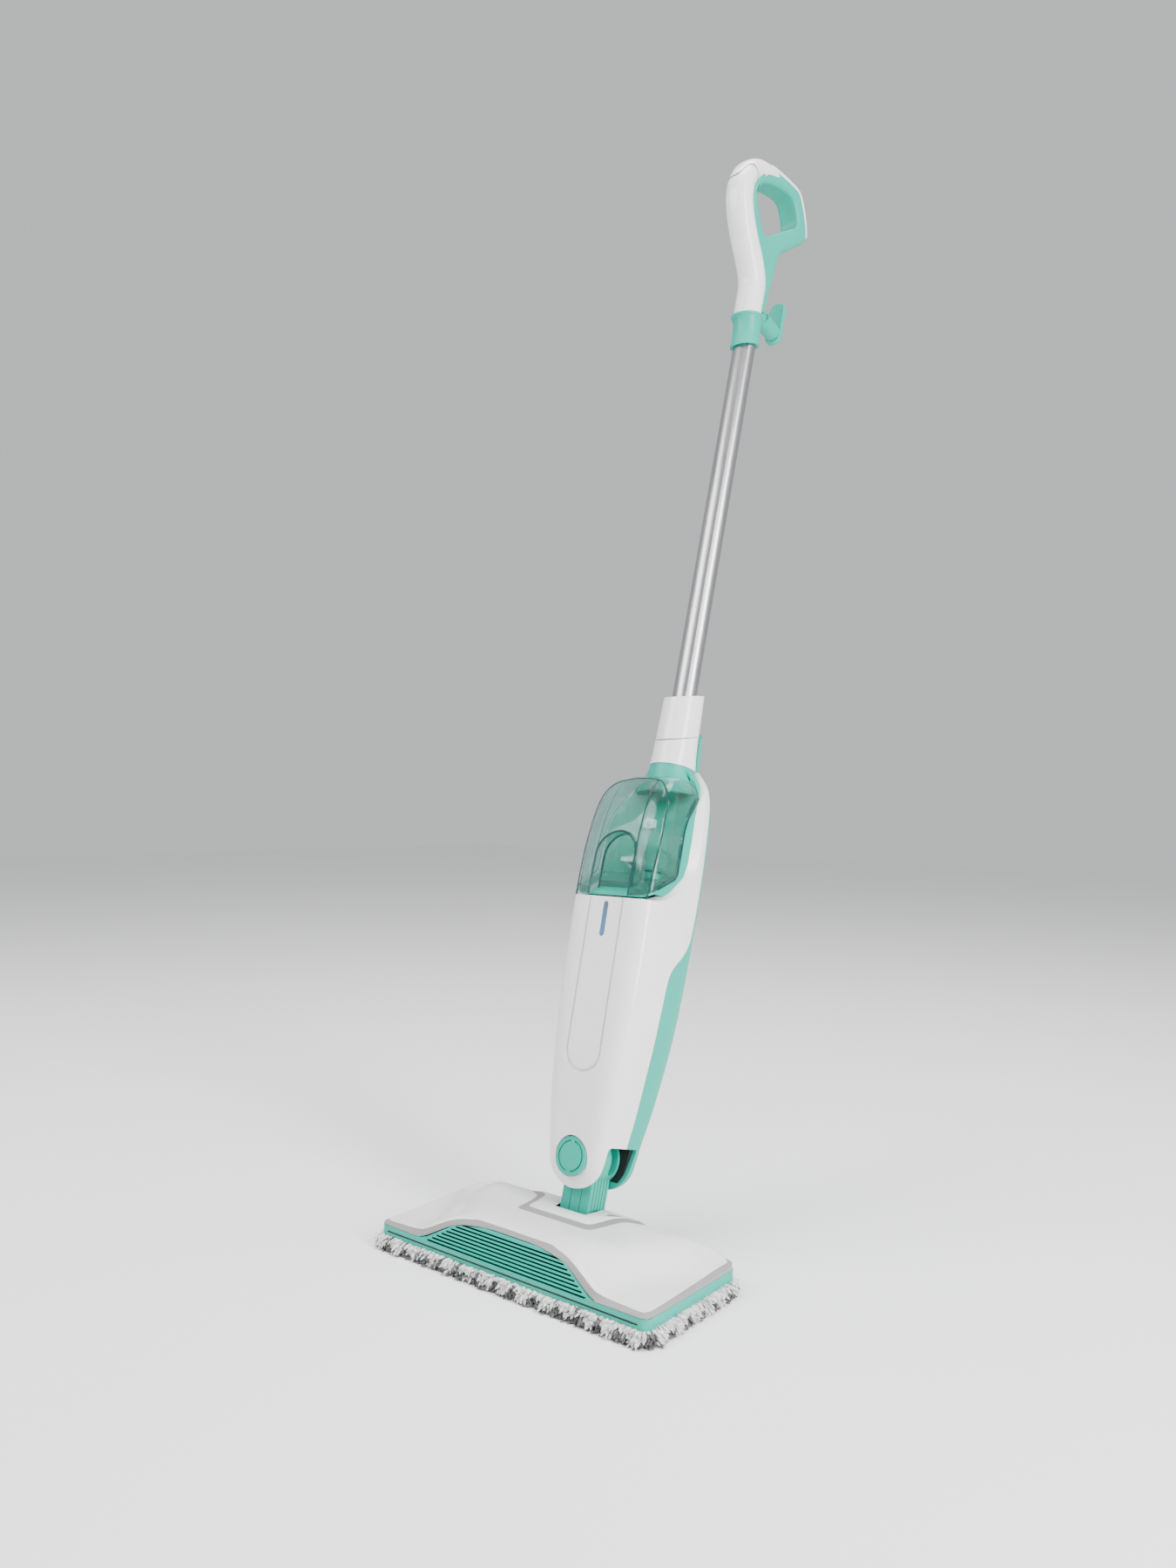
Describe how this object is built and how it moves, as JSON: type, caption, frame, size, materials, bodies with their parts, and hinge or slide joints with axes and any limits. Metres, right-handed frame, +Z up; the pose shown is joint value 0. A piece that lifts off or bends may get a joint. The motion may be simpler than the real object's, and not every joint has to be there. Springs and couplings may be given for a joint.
{
  "type": "steam mop",
  "caption": "Upright steam mop with a wide fabric pad, a two-axis neck, a clear water tank that slides off, a metal tube and a loop handle with a cord hook.",
  "frame": {"origin": "centre of the mop head on the floor", "axes": "+X across the head, -Y towards the front, +Z up"},
  "size_m": [0.303, 0.4843, 1.1092],
  "materials": {
    "white_plastic": "gloss",
    "teal_plastic": "satin",
    "clear_teal": "gloss",
    "blue_lens": "gloss",
    "dark_plastic": "matte",
    "aluminium": "satin",
    "steel": "satin",
    "brass": "satin",
    "hose_rubber": "matte",
    "insulation": "matte",
    "green_board": "satin",
    "pad_fabric": "matte"
  },
  "bodies": {
    "head": {"mop_pad": "pad_fabric", "pad_strips": "dark_plastic", "sole_plate": "aluminium", "base_tray": "teal_plastic", "head_cover": "white_plastic", "pivot_brackets": "dark_plastic", "pitch_axle": "steel", "steam_nozzle": "dark_plastic", "head_hose": "hose_rubber", "head_screws": "steel"},
    "neck": {"neck_yoke": "teal_plastic", "pitch_bushes": "brass", "roll_bushes": "brass", "neck_hose": "hose_rubber"},
    "main_body": {"front_cover": "white_plastic", "rear_cover": "teal_plastic", "pivot_cap": "teal_plastic", "roll_axle": "steel", "axle_clip": "steel", "light_guide": "blue_lens", "lamp_board": "green_board", "boiler": "aluminium", "heating_rods": "steel", "boiler_jacket": "insulation", "thermostat": "dark_plastic", "thermal_fuse": "steel", "steam_outlet": "brass", "pressure_hose": "hose_rubber", "pump_coil": "dark_plastic", "pump_tube": "steel", "pump_mounts": "hose_rubber", "inlet_hose": "hose_rubber", "power_board": "green_board", "tank_bay": "teal_plastic", "valve_seat": "dark_plastic", "cord_gland": "teal_plastic", "body_screws": "steel", "lower_sleeve": "white_plastic", "upper_sleeve": "white_plastic", "sleeve_screws": "steel", "tube": "aluminium", "tube_liner": "dark_plastic", "collar": "teal_plastic", "handle_spine": "white_plastic", "top_cap": "white_plastic", "grip": "teal_plastic", "handle_screws": "steel", "hook_pin": "teal_plastic"},
    "tank": {"tank_shell": "clear_teal", "tank_spigot": "white_plastic", "cap_seal": "hose_rubber", "valve_spring": "steel"},
    "filler_cap": {"filler_cap": "teal_plastic"},
    "valve_poppet": {"valve_poppet": "dark_plastic"},
    "cord_hook": {"cord_hook": "teal_plastic"}
  },
  "joints": [
    {"name": "neck_pitch", "type": "hinge", "parent": "head", "child": "neck", "pos_m": [0, 0.03921, 0.02646], "axis": [-1, 0, 0], "range_deg": [-15.5, 49.5]},
    {"name": "body_roll", "type": "hinge", "parent": "neck", "child": "main_body", "pos_m": [0, 0.05301, 0.0822], "axis": [0, 0.9636, -0.2672], "range_deg": [-60, 60]},
    {"name": "tank_slide", "type": "slide", "parent": "main_body", "child": "tank", "axis": [0, -0.9636, 0.2672], "range_m": [0, 0.08]},
    {"name": "filler_cap_turn", "type": "hinge", "parent": "tank", "child": "filler_cap", "pos_m": [0.029, 0.10274, 0.33262], "axis": [0, 0.2672, 0.9636], "range_deg": [0, 90]},
    {"name": "valve_poppet_travel", "type": "slide", "parent": "tank", "child": "valve_poppet", "axis": [0, -0.9636, 0.2672], "range_m": [0, 0.003], "stiffness_N_per_m": 60},
    {"name": "hook_swivel", "type": "hinge", "parent": "main_body", "child": "cord_hook", "pos_m": [0, 0.32741, 0.9407], "axis": [0, 0.9636, -0.2672], "range_deg": [0, 180]}
  ]
}
